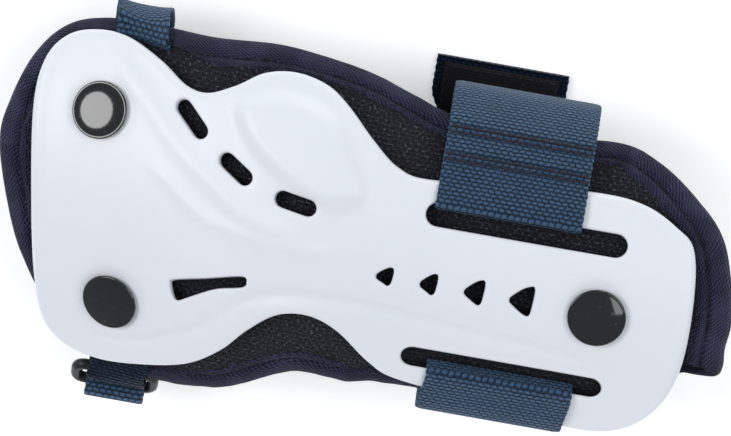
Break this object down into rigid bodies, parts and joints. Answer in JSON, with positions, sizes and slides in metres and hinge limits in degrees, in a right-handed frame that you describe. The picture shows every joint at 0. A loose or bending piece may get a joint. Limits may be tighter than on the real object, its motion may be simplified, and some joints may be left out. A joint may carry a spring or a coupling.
{
  "type": "wrist guard",
  "caption": "Wrist guard: a curved white palm plate riveted to a padded, bound sleeve, with a wide wrist strap, a narrow hand strap through a ring and a stiffened back panel.",
  "frame": {"origin": "middle of the flat outer back run of the wrist strap, on which the guard lies", "axes": "+Z out of the palm plate, +X along the guard from the fingers to the forearm, +Y towards the thumb side"},
  "size_m": [0.1925, 0.1083, 0.0627],
  "materials": {
    "white_plastic": "satin, fine moulded texture",
    "black_gloss": "gloss",
    "black_satin": "satin",
    "washer_black": "moulded",
    "mesh_black": "spacer mesh",
    "foam_grey": "closed-cell foam",
    "navy_tape": "twill tape",
    "blue_webbing": "woven webbing",
    "hook_black": "hook tape",
    "loop_navy": "loop tape",
    "splint_plastic": "moulded"
  },
  "bodies": {
    "root": {"palm_plate": "white_plastic", "rivet_cap_thumb": "black_gloss", "rivet_cap_little": "black_gloss", "rivet_cap_forearm": "black_gloss", "rivet_washer_thumb": "washer_black", "rivet_washer_little": "washer_black", "rivet_washer_forearm": "washer_black", "palm_cover": "mesh_black", "palm_foam": "foam_grey", "palm_lining": "mesh_black", "palm_binding_thumb_side": "navy_tape", "palm_binding_forearm_end": "navy_tape", "palm_binding_little_side": "navy_tape", "palm_binding_hand_end": "navy_tape", "back_cover": "mesh_black", "back_splint": "splint_plastic", "back_foam": "foam_grey", "back_lining": "mesh_black", "back_binding_forearm_end": "navy_tape", "back_binding_little_side": "navy_tape", "back_binding_hand_end": "navy_tape", "back_binding_thumb_side": "navy_tape", "side_gusset": "mesh_black", "wrist_strap": "blue_webbing", "wrist_loop_patch": "loop_navy", "hand_strap": "blue_webbing", "hand_loop_patch": "loop_navy", "ring_tab": "blue_webbing"},
    "strap_ring": {"strap_ring": "black_satin"},
    "wrist_strap_end": {"wrist_strap_tail": "blue_webbing", "wrist_hook_patch": "hook_black"},
    "hand_strap_end": {"hand_strap_end": "blue_webbing", "hand_hook_patch": "hook_black"}
  },
  "joints": [
    {"name": "ring_swing", "type": "hinge", "parent": "root", "child": "strap_ring", "pos_m": [-0.092, -0.04887, 0.02262], "axis": [1, 0, 0], "range_deg": [-8, 8]},
    {"name": "wrist_strap_peel", "type": "hinge", "parent": "root", "child": "wrist_strap_end", "pos_m": [0, 0.022, 0.0007], "axis": [1, 0, 0], "range_deg": [-60, 12]},
    {"name": "hand_strap_peel", "type": "hinge", "parent": "root", "child": "hand_strap_end", "pos_m": [-0.0937, -0.018, 0.0007], "axis": [1, 0, 0], "range_deg": [-60, 0]}
  ]
}
